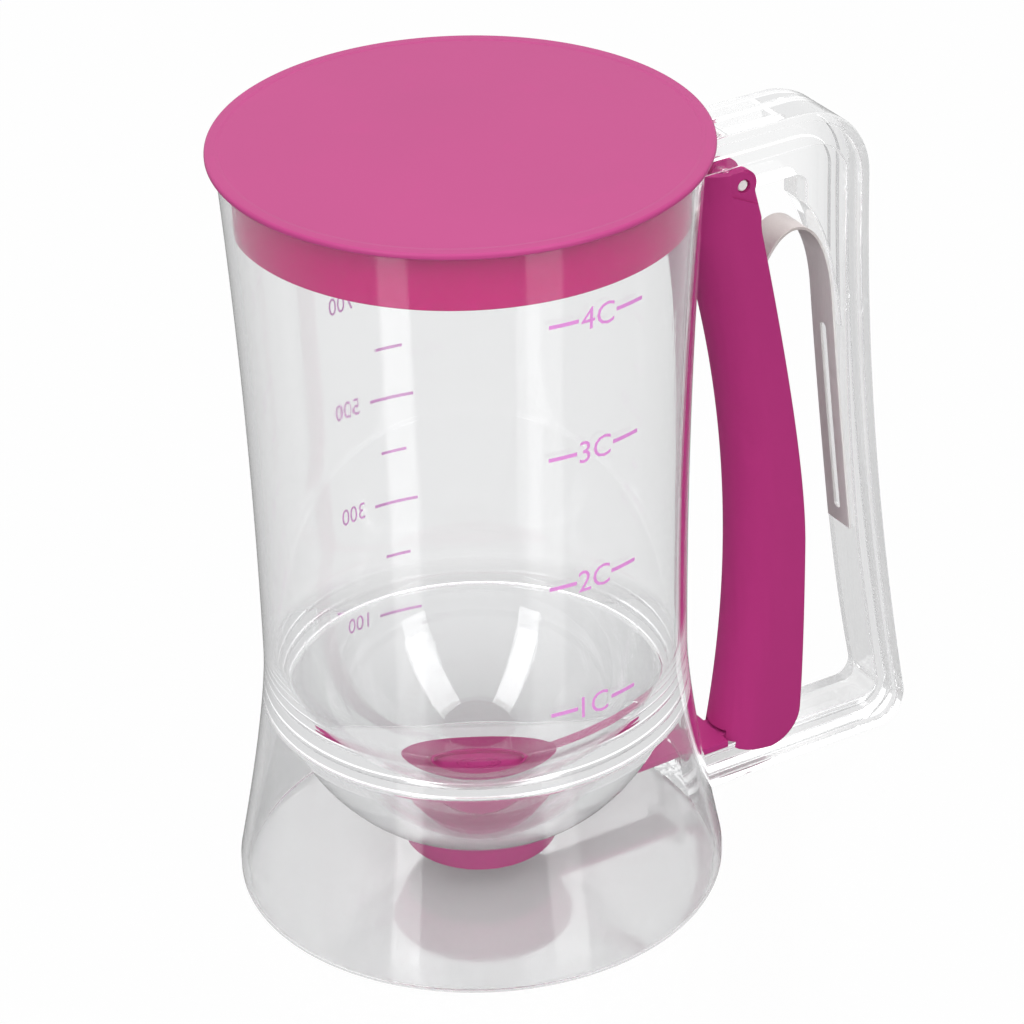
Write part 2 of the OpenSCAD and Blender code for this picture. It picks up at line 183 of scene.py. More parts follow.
class Graph:
    """A node tree that is built by expressions."""

    def __init__(self, tree):
        self.tree = tree
        tree.nodes.clear()

    def add(self, kind, settings=None, inputs=None, output=0):
        """Add a node, set its settings first and then its inputs, and return one output."""
        node = self.tree.nodes.new(kind)
        for name, setting in (settings or {}).items():
            setattr(node, name, setting)
        for key, value in (inputs or {}).items():
            if isinstance(value, Value):
                self.tree.links.new(value.socket, node.inputs[key])
            else:
                node.inputs[key].default_value = value
        return Value(self, node.outputs[output])

    def place(self, scale=(1.0, 1.0, 1.0)):
        """Points of the piece in the frame's own metres, stretched by scale."""
        point = self.add("ShaderNodeTexCoord", output="Object")
        return self.add("ShaderNodeMapping", {}, {"Vector": point, "Scale": scale})

    def noise(self, scale, detail=3.0, stretch=(1.0, 1.0, 1.0)):
        """Smooth noise from 0 to 1, with scale in waves per metre."""
        where = self.place(stretch)
        return self.add(
            "ShaderNodeTexNoise", {}, {"Vector": where, "Scale": scale, "Detail": detail}, "Fac",
        )

    def ramp(self, value, low, high):
        """Value stretched so that low becomes 0 and high becomes 1."""
        return self.add(
            "ShaderNodeMapRange", {"clamp": True},
            {"Value": value, "From Min": low, "From Max": high},
        )

    def blend(self, share, first, second):
        """A colour between two others."""
        return self.add(
            "ShaderNodeMix", {"data_type": "RGBA"}, {0: share, 6: first, 7: second}, 2
        )

    def bump(self, heights, distance, strength=1.0):
        """A surface normal moved by heights, where a height of 1 is distance."""
        return self.add(
            "ShaderNodeBump", {}, {"Height": heights, "Distance": distance, "Strength": strength}
        )

    def principled(self, inputs):
        """A Principled surface."""
        return self.add("ShaderNodeBsdfPrincipled", {}, inputs)

    def axis(self, letter):
        """One coordinate of the frame, in metres."""
        return self.add("ShaderNodeSeparateXYZ", {}, {0: self.place()}, letter)

    def rays(self):
        """1 for camera rays, refracted rays, mirrored rays, and rays mirrored inside the wall."""
        seen = self.add("ShaderNodeLightPath", output="Is Camera Ray")
        through = self.add("ShaderNodeLightPath", output="Is Transmission Ray")
        turned = self.add("ShaderNodeLightPath", output="Glossy Depth") > 0.5
        return seen, through * (1 - turned), turned * (1 - through), turned * through

    def finish(self, shader, kind="ShaderNodeOutputMaterial"):
        """Send a shader to the surface of a material, or of the world."""
        node = self.tree.nodes.new(kind)
        self.tree.links.new(shader.socket, node.inputs["Surface"])


def rgba(tint, factor=1.0):
    """A colour with alpha, lighter or darker by factor."""
    return tuple(min(1.0, part * factor) for part in tint) + (1.0,)


def new_material(name):
    """A material and the graph that builds it."""
    material = bpy.data.materials.new(name)
    material.use_nodes = True
    return material, Graph(material.node_tree)


def clear_plastic(tint):
    """Clear polished plastic with faint flow lines, smudges and hairline scratches."""
    material, graph = new_material("clear_plastic")
    smudges = graph.ramp(graph.noise(38.0, 4.0), 0.45, 0.8)
    scratches = graph.ramp(graph.noise(420.0, 2.0, (1.0, 1.0, 0.04)), 0.62, 0.9)
    flow = graph.noise(60.0, 2.0, (1.0, 1.0, 0.35))
    # Painted light and shade: the handle's arms are painted lighter and its grip darker than the
    # barrel, though all are one clear plastic
    outward = graph.axis("X")
    arms = graph.ramp(outward, FOOT_R, FOOT_R + 3 * MM)
    grip = graph.ramp(outward, 88 * MM, 100 * MM)
    handle = graph.blend(grip, rgba(tint, 1.06), rgba(tint, 0.87))
    tint_with_painted_handle_shade = graph.blend(arms, rgba(tint), handle)
    surface = graph.principled({
        "Base Color": tint_with_painted_handle_shade,
        "Roughness": 0.012 + smudges * 0.03 + scratches * 0.02,
        "IOR": 1.58,
        "Transmission Weight": 1.0,
        "Normal": graph.bump(flow * 0.7 + scratches * 0.3, 0.00004, 0.6),
    })
    # Painted glow: past ten bounces the wall emits its own tint, standing in for light trapped in
    # the wall over many bounces
    glow = graph.add("ShaderNodeEmission", {}, {"Color": rgba(tint), "Strength": 0.85})
    depth = graph.add("ShaderNodeLightPath", output="Ray Depth")
    lasting = graph.add("ShaderNodeMixShader", {}, {0: depth > 10.0, 1: surface, 2: glow})
    through = graph.add("ShaderNodeBsdfTransparent", {}, {"Color": (0.97, 0.97, 0.975, 1.0)})
    shadow = graph.add("ShaderNodeLightPath", output="Is Shadow Ray")
    graph.finish(graph.add("ShaderNodeMixShader", {}, {0: shadow * 0.94, 1: lasting, 2: through}))
    return material


def moulded_plastic(name, tint, painted_shade_below_rim, roughness, grain, shine):
    """Opaque moulded plastic with a fine spark-eroded texture and a deeper painted shade below the
    rim.
    """
    material, graph = new_material(name)
    up = graph.axis("Z")
    # Painted shade: below the rim the plastic takes a deeper tint than its lit top
    below = graph.ramp(up, HEIGHT, HEIGHT - 0.5 * MM)
    flow = graph.noise(26.0, 3.0, (1.0, 1.0, 0.4))
    speckle = graph.noise(2600.0, 2.0)
    wear = graph.ramp(graph.noise(90.0, 5.0), 0.62, 0.82)
    pale = graph.blend(below, rgba(tint, 0.94), rgba(painted_shade_below_rim, 0.94))
    full = graph.blend(below, rgba(tint, 1.06), rgba(painted_shade_below_rim, 1.06))
    worn = graph.blend(wear * 0.25, graph.blend(flow, pale, full), rgba(tint, 1.22))
    surface = graph.principled({
        "Base Color": worn,
        "Roughness": roughness + flow * 0.06 + wear * 0.05 + speckle * 0.04,
        "IOR": 1.49,
        "Specular IOR Level": shine,
        "Normal": graph.bump(speckle + flow * 0.4, grain, 0.7),
    })
    graph.finish(surface)
    return material


def rolled_steel(name, tint, tint_above, roughness, along):
    """Steel with rolling lines along one direction, faint stains and a second tint towards the
    hinge.
    """
    material, graph = new_material(name)
    lines = graph.noise(2400.0, 3.0, along)
    stains = graph.ramp(graph.noise(160.0, 4.0), 0.5, 0.8)
    up = graph.axis("Z")
    above = graph.ramp(up, HINGE_Z - 26 * MM, HINGE_Z - 18 * MM)
    clean_strip = graph.blend(above, rgba(tint), rgba(tint_above))
    dull_strip = graph.blend(above, rgba(tint, 0.78), rgba(tint_above, 0.78))
    surface = graph.principled({
        "Base Color": graph.blend(lines * 0.6 + stains * 0.3, clean_strip, dull_strip),
        "Metallic": 0.15,
        "Roughness": roughness + lines * 0.12 + stains * 0.1,
        "Normal": graph.bump(lines, 0.00002, 0.5),
    })
    graph.finish(surface)
    return material


def printed_ink(tint):
    """Screen-printed ink, a little uneven in cover."""
    material, graph = new_material("scale_ink")
    cover = graph.noise(900.0, 3.0)
    surface = graph.principled({
        "Base Color": graph.blend(cover, rgba(tint, 0.95), rgba(tint, 1.08)),
        "Roughness": 0.4 + cover * 0.2,
        "Normal": graph.bump(cover, 0.00001, 0.4),
    })
    graph.finish(surface)
    return material


def soft_seal():
    """Whitish silicone with a dull, slightly dusty face."""
    material, graph = new_material("seal_rubber")
    dust = graph.noise(700.0, 4.0)
    surface = graph.principled({
        "Base Color": graph.blend(dust, (0.80, 0.80, 0.79, 1.0), (0.9, 0.9, 0.89, 1.0)),
        "Roughness": 0.5 + dust * 0.15,
        "Subsurface Weight": 0.2,
        "Subsurface Scale": 0.001,
        "Normal": graph.bump(dust, 0.00002, 0.4),
    })
    graph.finish(surface)
    return material


# ---- outlines ----


def along(a, b, c, t):
    """The point at share t of a quadratic curve from a to c that aims at b."""
    s = 1.0 - t
    return tuple(s * s * i + 2 * s * t * j + t * t * k for i, j, k in zip(a, b, c))


def curve(a, b, c, steps):
    """Points on a quadratic curve from a to c that aims at b."""
    return [along(a, b, c, i / steps) for i in range(steps + 1)]


def cubic(a, b, c, d, steps):
    """Points on a cubic curve from a to d."""
    points = []
    for i in range(steps + 1):
        t = i / steps
        weights = ((1 - t) ** 3, 3 * (1 - t) ** 2 * t, 3 * (1 - t) * t * t, t ** 3)
        points.append(tuple(
            sum(w * p[axis] for w, p in zip(weights, (a, b, c, d))) for axis in (0, 1)
        ))
    return points


def arc(centre, radius, start, end, steps):
    """Points on an arc, with its angles in degrees."""
    points = []
    for i in range(steps + 1):
        angle = math.radians(start + (end - start) * i / steps)
        points.append((
            centre[0] + radius * math.cos(angle), centre[1] + radius * math.sin(angle)
        ))
    return points


def rounded(corners, steps=8):
    """An outline whose corners, given as (x, z, radius), are rounded."""
    points = []
    count = len(corners)
    for i, (x, z, radius) in enumerate(corners):
        here = Vector((x, z))
        if radius <= 0:
            points.append((x, z))
            continue
        before = (Vector(corners[i - 1][:2]) - here).normalized()
        after = (Vector(corners[(i + 1) % count][:2]) - here).normalized()
        half = before.angle(after) / 2
        reach = radius / math.tan(half)
        first = here + before * reach
        last = here + after * reach
        centre = here + (before + after).normalized() * (radius / math.sin(half))
        start = math.atan2(*(first - centre).yx)
        sweep = math.atan2(*(last - centre).yx) - start
        sweep = (sweep + math.pi) % (2 * math.pi) - math.pi
        for k in range(steps + 1):
            angle = start + sweep * k / steps
            points.append((
                centre.x + radius * math.cos(angle), centre.y + radius * math.sin(angle)
            ))
    return points


# ---- mesh tools ----


def new_object(name, data):
    """An object that shows a mesh, text, light or camera, added to the scene."""
    made = bpy.data.objects.new(name, data)
    bpy.context.scene.collection.objects.link(made)
    return made


def weld(mesh, distance):
    """Merge a mesh's double points and turn its faces outwards."""
    work = bmesh.new()
    work.from_mesh(mesh)
    bmesh.ops.remove_doubles(work, verts=work.verts, dist=distance)
    bmesh.ops.recalc_face_normals(work, faces=work.faces)
    work.to_mesh(mesh)
    work.free()


def build(name, points, faces):
    """A closed mesh object with its normals pointing out."""
    mesh = bpy.data.meshes.new(name)
    mesh.from_pydata([tuple(p) for p in points], [], faces)
    weld(mesh, 1e-7)
    return new_object(name, mesh)


def lathe(name, profile, segments):
    """A solid of revolution from a closed outline of (radius, height) points."""
    points = []
    rings = []
    for radius, height in profile:
        if radius < 1e-9:
            rings.append([len(points)] * segments)
            points.append((0.0, 0.0, height))
            continue
        rings.append(list(range(len(points), len(points) + segments)))
        for k in range(segments):
            angle = 2 * math.pi * k / segments
            points.append((radius * math.cos(angle), radius * math.sin(angle), height))
    faces = []
    for j, ring in enumerate(rings):
        other = rings[(j + 1) % len(rings)]
        for k in range(segments):
            n = (k + 1) % segments
            face = list(dict.fromkeys((ring[k], ring[n], other[n], other[k])))
            if len(face) > 2:
                faces.append(face)
    return build(name, points, faces)


def sweep(name, rings):
    """A closed solid through rings of points, with a flat face at each end."""
    size = len(rings[0])
    points = [p for ring in rings for p in ring]
    faces = [list(range(size)), list(range(len(points) - size, len(points)))]
    for j in range(len(rings) - 1):
        for i in range(size):
            n = (i + 1) % size
            faces.append((j * size + i, j * size + n, (j + 1) * size + n, (j + 1) * size + i))
    return build(name, points, faces)


def plate(name, outline, width, middle=0.0):
    """A solid of a side outline of (x, z) points, as thick as width along Y."""
    return sweep(name, [
        [(x, middle + side * width / 2, z) for x, z in outline] for side in (-1, 1)
    ])


def block(name, low, high):
    """A box between two corners."""
    outline = [(low[0], low[2]), (high[0], low[2]), (high[0], high[2]), (low[0], high[2])]
    return plate(name, outline, high[1] - low[1], (low[1] + high[1]) / 2)


def hinge_rod(name, *stations, segments=48):
    """A round bar about the hinge's axis, through stations given as (Y, radius)."""
    turns = [2 * math.pi * k / segments for k in range(segments)]
    return sweep(name, [
        [(HINGE_X + radius * math.cos(turn), y, HINGE_Z + radius * math.sin(turn))
         for turn in turns]
        for y, radius in stations
    ])


def settle(piece):
    """Turn a piece's modifiers into its own mesh."""
    graph = bpy.context.evaluated_depsgraph_get()
    mesh = bpy.data.meshes.new_from_object(piece.evaluated_get(graph))
    old = piece.data
    piece.modifiers.clear()
    piece.data = mesh
    bpy.data.meshes.remove(old)


def carve(piece, tool, operation="DIFFERENCE"):
    """Cut, join or intersect a piece with a tool, which is used up."""
    modifier = piece.modifiers.new(operation, "BOOLEAN")
    modifier.operation = operation
    modifier.solver = "EXACT"
    modifier.object = tool
    settle(piece)
    mesh = tool.data
    bpy.data.objects.remove(tool)
    bpy.data.meshes.remove(mesh)


def soften(piece, width, segments=3, angle=35):
    """Round the sharp edges of a piece."""
    modifier = piece.modifiers.new("edges", "BEVEL")
    modifier.width = width
    modifier.segments = segments
    modifier.limit_method = "ANGLE"
    modifier.angle_limit = math.radians(angle)
    modifier.use_clamp_overlap = True
    settle(piece)


def clean(piece):
    """Merge points that a cut left together, drop flat slivers and close small gaps."""
    work = bmesh.new()
    work.from_mesh(piece.data)
    bmesh.ops.remove_doubles(work, verts=work.verts, dist=2e-6)
    bmesh.ops.dissolve_degenerate(work, dist=1e-6, edges=work.edges)
    open_edges = [edge for edge in work.edges if edge.is_boundary]
    bmesh.ops.holes_fill(work, edges=open_edges)
    work.to_mesh(piece.data)
    work.free()


def dress(piece, body, material, slot, *nodes, sharp=35):
    """Shade a piece, give it its material and put it in place of CAD nodes; the slot argument is
    not used.
    """
    piece.data.shade_smooth()
    piece.data.set_sharp_from_angle(angle=math.radians(sharp))
    # Flat faces keep their own normals and the small faces of the rounded edges bend between
    modifier = piece.modifiers.new("normals", "WEIGHTED_NORMAL")
    modifier.keep_sharp = True
    settle(piece)
    piece.data.materials.clear()
    piece.data.materials.append(material)
    if body:
        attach(piece, body)
    if nodes:
        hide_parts(*nodes)


# ---- forms shared by several pieces ----


def barrel_r(sizes, z):
    """Outer radius of the container above its waist."""
    share = (z - sizes.waist_z) / (HEIGHT - sizes.waist_z)
    return sizes.waist_r + (RIM_R - sizes.waist_r) * share * share


def flare(sizes):
    """The points that the skirt's curve starts at, aims at and ends at."""
    return (FOOT_R, sizes.foot_h), (sizes.waist_r, sizes.flare_z), (sizes.waist_r, sizes.waist_z)


def outer_side(sizes, top):
    """The container's outer face from the skirt's edge up to a height."""
    side = curve(*flare(sizes), FLARE_STEPS)
    for i in range(1, BARREL_STEPS + 1):
        z = sizes.waist_z + (top - sizes.waist_z) * i / BARREL_STEPS
        side.append((barrel_r(sizes, z), z))
    return side


def bowl_shape(sizes):
    """Radius and centre height of the bowl's round outer face, and its edge at the groove."""
    groove_at = 0.66
    groove_r = 1.2 * MM
    point = along(*flare(sizes), groove_at)
    edge_r = point[0] - sizes.wall - 2 * groove_r
    pole_z = sizes.floor_z - 2.2 * MM
    rise = point[1] - pole_z
    radius = (edge_r * edge_r + rise * rise) / (2 * rise)
    return radius, pole_z + radius, edge_r, point[1], groove_r, groove_at


def container_profile(sizes):
    """The closed outline of the barrel, bowl and skirt."""
    lip = 0.7 * MM
    top = HEIGHT - lip
    outside = outer_side(sizes, top)
    rim_r = barrel_r(sizes, HEIGHT)
    rim = arc((rim_r - lip, top), lip, 0, 90, 8)[1:]
    rim += arc((rim_r - sizes.wall + lip, top), lip, 90, 180, 8)
    inside = []
    for i in range(BARREL_STEPS - 1, -1, -1):
        z = sizes.shoulder_z + (top - sizes.shoulder_z) * i / BARREL_STEPS
        inside.append((barrel_r(sizes, z) - sizes.wall, z))
    radius, middle, edge_r, groove_z, groove_r, groove_at = bowl_shape(sizes)
    inner_r = barrel_r(sizes, sizes.shoulder_z) - sizes.wall
    depth = sizes.shoulder_z - (middle - radius) - sizes.floor_t
    floor_top = sizes.floor_z + sizes.floor_t
    end = math.asin((sizes.shoulder_z - floor_top) / depth)
    bowl_steps = 32
    for i in range(1, bowl_steps + 1):
        angle = end * i / bowl_steps
        inside.append((inner_r * math.cos(angle), sizes.shoulder_z - depth * math.sin(angle)))
    drip = 0.2 * MM
    inside += arc((sizes.hole_r + drip, floor_top - drip), drip, 90, 180, 6)
    inside.append((sizes.hole_r, sizes.floor_z))
    flat = math.degrees(math.asin((middle - sizes.floor_z) / radius))
    brim = math.degrees(math.asin((middle - groove_z) / radius))
    under = arc((0.0, middle), radius, -flat, -brim, 30)
    under += arc((edge_r + groove_r, groove_z), groove_r, 180, 0, 12)[1:]
    skirt_steps = 16
    for i in range(1, skirt_steps + 1):
        point = along(*flare(sizes), groove_at * (1 - i / skirt_steps))
        under.append((point[0] - sizes.wall, point[1]))
    toe = 0.5 * MM
    under += arc((FOOT_R - sizes.wall + toe, toe), toe, 180, 270, 6)
    under += arc((FOOT_R - toe, toe), toe, 270, 360, 6)
    return outside + rim + inside + under


def outer_profile(sizes, inset):
    """A solid outline inside the container's outer face, from the axis."""
    side = [(r - inset, z) for r, z in outer_side(sizes, HEIGHT)]
    below = -5 * MM
    return [(0.0, below), (side[0][0], below)] + side + [(0.0, HEIGHT)]


def c_loop(top, x_top, r_top, aim, x_foot, r_foot, low, lean):
    """Side outline of a C-shaped loop that opens towards the container."""
    centre = (x_foot - r_foot, low + r_foot)
    turn = arc(centre, r_foot, lean, -90, 12)
    start = (x_top, top - r_top)
    return (
        [(0.0, top)] + arc((x_top - r_top, top - r_top), r_top, 90, 0, 20)
        + curve(start, (x_top, aim), turn[0], 24)[1:] + turn[1:] + [(0.0, low)]
    )


def handle_lines(sizes):
    """The handle's back, its middle line inside the flange, the flange's inside, and opening."""
    lean = math.degrees(math.atan((sizes.reach - sizes.grip_x) / (sizes.arm_top / 2)))
    corner = 20 * MM
    foot = 8 * MM
    foot_depth = 7.3 * MM
    lines = []
    for inset in (0.0, sizes.flange_t / 2, sizes.flange_t):
        lines.append(c_loop(
            sizes.arm_top - inset, sizes.grip_x - inset, corner - inset, sizes.arm_top * 0.5,
            sizes.reach - inset, foot - inset, inset, lean,
        ))
    lines.append(c_loop(
        sizes.arm_low, sizes.grip_x - CORE_DEPTH, corner / 2, sizes.arm_top * 0.42,
        sizes.reach - foot_depth, foot / 2, sizes.sill_z, lean,
    ))
    return lines


def gusset_line(sizes):
    """Side outline of the rib under the top arm and its gusset in the corner."""
    front = sizes.grip_x - CORE_DEPTH
    corner_x = front - 10.2 * MM
    round_r = 3 * MM
    low = sizes.rib_low - 8 * MM
    back = sizes.grip_x - sizes.flange_t - 1 * MM
    top = sizes.arm_low + 1 * MM
    foot_z = low - 35 * MM
    return (
        [(0.0, top), (back, top), (back, foot_z), (front + 1 * MM, foot_z)]
        + curve((front + 0.2 * MM, foot_z), (front - 3.2 * MM, low - 8 * MM),
                (corner_x, low), 12)
        + arc((corner_x - round_r, sizes.rib_low - round_r), round_r, 0, 90, 8)
        + [(0.0, sizes.rib_low)]
    )


def front_at(z):
    """Distance of the trigger's front from the axis."""
    brow = HINGE_Z - 13.5 * MM
    brow_x = HINGE_X - 10.8 * MM
    full_z = 63 * MM
    bow = (TRIGGER_FRONT_X - brow_x) / (brow - full_z) ** 2
    return TRIGGER_FRONT_X - bow * (min(z, brow) - full_z) ** 2


def share_at(a, b, c, z):
    """The share of a quadratic curve from height a to c, aiming at b, at which it reaches z."""
    fall = a - b
    return (a - z) / (fall + math.sqrt(fall * fall - (a - 2 * b + c) * (a - z)))


def rear_at(z, low):
    """Distance of the trigger's rear edge from the axis, with its ends rounded off."""
    full = TRIGGER_FRONT_X + TRIGGER_DEPTH
    full_z = 60 * MM
    neck = front_at(HINGE_Z) + 15.8 * MM
    neck_z = HINGE_Z - 12 * MM
    ear_x = HINGE_X + 3.2 * MM
    ear_r = 3.7 * MM
    toe = TRIGGER_FOOT_ROUND
    foot = full - 0.9 * MM
    if z < low + toe:
        return foot - toe + math.sqrt(max(0.0, toe * toe - (low + toe - z) ** 2))
    if z < full_z:
        t = share_at(full_z, full_z - 30 * MM, low + toe, z)
        return along((full,), (full,), (foot,), t)[0]
    if z < neck_z:
        t = share_at(neck_z, full_z + 24 * MM, full_z, z)
        return along((neck,), (full,), (full,), t)[0]
    if z < EAR_Z:
        return neck
    if z < EAR_ROUND_Z:
        return neck + (ear_x - neck) * (z - EAR_Z) / (EAR_ROUND_Z - EAR_Z)
    share = (z - EAR_ROUND_Z) / (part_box("trigger")[1].z - EAR_ROUND_Z)
    return ear_x - ear_r + ear_r * math.sqrt(max(0.0, 1 - share * share))


def spring_line():
    """The leaf spring's middle line from its root in the trigger to its free end."""
    front = GRIP_X - CORE_DEPTH
    root = (HINGE_X + 6.2 * MM, HINGE_Z - 29 * MM)
    knee = (front - 2.1 * MM, HINGE_Z - 38 * MM)
    end = (front + 4.3 * MM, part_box("return_spring")[0].z)
    bow = cubic(
        root, (HINGE_X + 12 * MM, HINGE_Z - 10.5 * MM),
        (knee[0] - 2 * MM, knee[1] + 25.5 * MM), knee, 36,
    )
    return bow + curve(knee, (front + 0.2 * MM, knee[1] - 27 * MM), end, 30)[1:]


# ---- pieces ----


def make_body(sizes, looks):
    """The container with its handle: one clear moulding."""
    body = lathe("clear_body", container_profile(sizes), BODY_FACETS)
    back, middle, inside, opening = handle_lines(sizes)
    handle = plate("flange", back + inside[::-1], sizes.flange_w)
    soften(handle, 0.55 * MM)
    core = plate("core", middle + opening[::-1], sizes.core_w)
    soften(core, 0.45 * MM)
    rib = plate("rib", gusset_line(sizes), sizes.rib_w)
    soften(rib, 0.5 * MM)
    carve(handle, core, "UNION")
    carve(handle, rib, "UNION")
    carve(handle, lathe("bore", outer_profile(sizes, sizes.wall / 2), BODY_FACETS))
    hole_r = PIN_R + 0.03 * MM
    carve(handle, hinge_rod("hole", (-2 * sizes.rib_w, hole_r), (2 * sizes.rib_w, hole_r)))
    carve(body, handle, "UNION")
    # The arched window that the slider passes through
    half = 8 * MM
    arch_top = sizes.sill_z + 5.1 * MM
    rise = 2.5 * MM
    radius = (half * half + rise * rise) / (2 * rise)
    edge = math.degrees(math.asin(half / radius))
    outline = [(-half, sizes.sill_z), (half, sizes.sill_z)]
    outline += arc((0.0, arch_top - radius), radius, 90 - edge, 90 + edge, 12)
    window = sweep("window", [
        [(x, y, z) for y, z in outline] for x in (sizes.waist_r - 8 * MM, FOOT_R + 3 * MM)
    ])
    carve(body, window)
    clean(body)
    dress(body, "container", clear_plastic(looks.clear), "clear_plastic",
          "container", "handle_frame")


def make_lid(sizes, looks):
    """The plug lid, with rounded edges and a slightly sunk top."""
    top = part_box("lid")[1].z
    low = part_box("lid")[0].z
    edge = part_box("lid")[1].x
    gap = 0.3 * MM
    plug_low = barrel_r(sizes, low) - sizes.wall - gap
    plug_top = barrel_r(sizes, HEIGHT) - sizes.wall - gap
    wall = 1.8 * MM
    ceiling = HEIGHT - 1.5 * MM
    sink = 0.12 * MM
    outline = rounded([
        (edge, HEIGHT, 0.55 * MM), (edge, top, 0.7 * MM),
        (edge - 2.4 * MM, top, 0.5 * MM), (edge - 3.2 * MM, top - sink, 0.5 * MM),
        (0.0, top - sink, 0), (0.0, ceiling, 0), (plug_top - wall, ceiling, 0.6 * MM),
        (plug_low - wall, low, 0.4 * MM), (plug_low, low, 0.5 * MM), (plug_top, HEIGHT, 0),
    ])
    piece = lathe("lid_cap", outline, BODY_FACETS)
    # Painted shade: a deeper, greyless copy of the lid colour for the plug below the rim, against
    # the lit top
    lid_painted_shade = (looks.lid[0] * 1.06, 0.0, looks.lid[2] * 0.72)
    material = moulded_plastic("pink_lid_plastic", looks.lid, lid_painted_shade, 0.36, 0.000012, 0.25)
    dress(piece, "lid", material, "pink_lid_plastic", "lid")


def u_ring(z, sizes, low):
    """A closed U-shaped section of the trigger, with rounded rear lips."""
    half = sizes.width / 2
    inner = half - sizes.wall
    front = front_at(z)
    middle = front + half
    lip = sizes.wall / 2
    rear = rear_at(z, low) - lip
    straight = 6
    ring = []
    for i in range(straight):
        ring.append((rear + (middle - rear) * i / straight, half))
    ring += arc((middle, 0.0), half, 90, 270, 28)
    for i in range(1, straight + 1):
        ring.append((middle + (rear - middle) * i / straight, -half))
    ring += arc((rear, -half + lip), lip, 270, 450, 8)[1:-1]
    for i in range(straight):
        ring.append((rear + (middle - rear) * i / straight, -inner))
    ring += arc((middle, 0.0), inner, 270, 90, 28)
    for i in range(1, straight + 1):
        ring.append((middle + (rear - middle) * i / straight, inner))
    ring += arc((rear, half - lip), lip, -90, 90, 8)[1:-1]
    return [(x, y, z) for x, y in ring]


def make_trigger(sizes, body_sizes, material):
    """The trigger: a U-shaped shell hung from its ears, open to the rear."""
    low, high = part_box("trigger")
    half = sizes.width / 2
    foot_z = low.z + TRIGGER_FOOT_ROUND
    steps, ear_steps = 70, 4
    levels = [low.z + TRIGGER_FOOT_ROUND * (1 - math.cos(math.radians(a)))
              for a in range(0, 90, 8)]
    levels += [foot_z + (EAR_Z - foot_z) * i / steps for i in range(steps + 1)]
    levels += [EAR_Z + (EAR_ROUND_Z - EAR_Z) * i / ear_steps for i in range(1, ear_steps + 1)]
    levels += [EAR_ROUND_Z + (high.z - EAR_ROUND_Z) * math.sin(math.radians(a))
               for a in range(9, 91, 9)]
    piece = sweep("trigger_shell", [u_ring(z, sizes, low.z) for z in levels])
    slider_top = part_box("outlet_seal")[0].z - SEAL_GAP
    wall_low = slider_top + FOOT_WALL_GAP
    hook_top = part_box("valve_slider")[1].z
    hook_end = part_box("valve_slider")[1].x
    neck = 4.3 * MM
    rib = body_sizes.rib_w / 2 + 0.3 * MM
    inner = half - sizes.wall
    # The catch behind the slider's hook and the seat of the leaf spring, sunk into both sides
    sunk = inner + 0.3 * MM
    catch_x = hook_end + HOOK_GAP
    carve(piece, block(
        "catch", (catch_x, -sunk, slider_top - 0.8 * MM),
        (catch_x + 1.6 * MM, sunk, hook_top + 9 * MM)), "UNION")
    root_x, root_z = spring_line()[0]
    seat_x = root_x - sizes.spring_t / 2 - 0.1 * MM
    carve(piece, block(
        "seat", (seat_x - 2.4 * MM, -sunk, root_z - 4 * MM),
        (seat_x, sunk, root_z + 3 * MM)), "UNION")
    boss_r = 3.75 * MM
    for side in (-1, 1):
        boss = hinge_rod("boss", (side * rib, boss_r), (side * (half - 1 * MM), boss_r))
        carve(piece, boss, "UNION")
    # Room for the rib at the top, and for the core, tab and hook at the foot
    far = 30 * MM
    carve(piece, block("rib_room", (HINGE_X - far, -rib, body_sizes.rib_low - 1.5 * MM),
                       (HINGE_X + far, rib, high.z + 5 * MM)))
    core = body_sizes.core_w / 2 + 0.25 * MM
    carve(piece, block("core_room", (HINGE_X - far, -core, 0.0),
                       (HINGE_X + far, core, body_sizes.sill_z + 0.5 * MM)))
    front_x = HINGE_X - far
    roof_z = hook_top + 0.8 * MM
    hook_front = hook_end - 2.2 * MM
    room = [
        (front_x, 0.0), (catch_x, 0.0), (catch_x, roof_z), (hook_front, roof_z),
        (hook_front, wall_low), (front_x, wall_low),
    ]
    carve(piece, plate("hook_room", room, 2 * neck))
    # The foot's underside rises towards the front, over the slider's tab
    tab_x = front_at(wall_low) + 0.1 * MM
    heel_x = tab_x + 13.5 * MM
    toe_z = low.z + 2.5 * MM
    under = curve((heel_x, low.z - 0.1 * MM), (tab_x + 8 * MM, low.z + 0.3 * MM),
                  (tab_x + 3 * MM, low.z + 1.5 * MM), 10)
    under += [(tab_x + 0.9 * MM, toe_z), (front_x, toe_z), (front_x, 0.0), (heel_x, 0.0)]
    carve(piece, plate("under", under, 3 * half))
    # The flat facet round each end of the pin
    depth = 0.5 * MM
    clear = 10 * MM
    facet_x = HINGE_X - 3.5 * MM
    outline = rounded([
        (facet_x, HINGE_Z + clear, 0), (facet_x, HINGE_Z - 1.7 * MM, 1.0 * MM),
        (HINGE_X + clear, HINGE_Z - 8.6 * MM, 0), (HINGE_X + clear, HINGE_Z + clear, 0),
    ])
    cut = 4 * MM
    sink_r = 1.7 * MM
    for side in (-1, 1):
        carve(piece, plate("facet", outline, cut, side * (half + cut / 2 - depth)))
        carve(piece, hinge_rod("sink", (side * (half - depth - 1 * MM), sink_r),
                               (side * (half - depth + 0.2 * MM), sink_r)))
    hole_r = PIN_R + 0.06 * MM
    carve(piece, hinge_rod("pin_hole", (-2 * half, hole_r), (2 * half, hole_r)))
    clean(piece)
    soften(piece, 0.22 * MM, 2, 40)
    clean(piece)
    dress(piece, "trigger", material, "pink_plastic", "trigger")


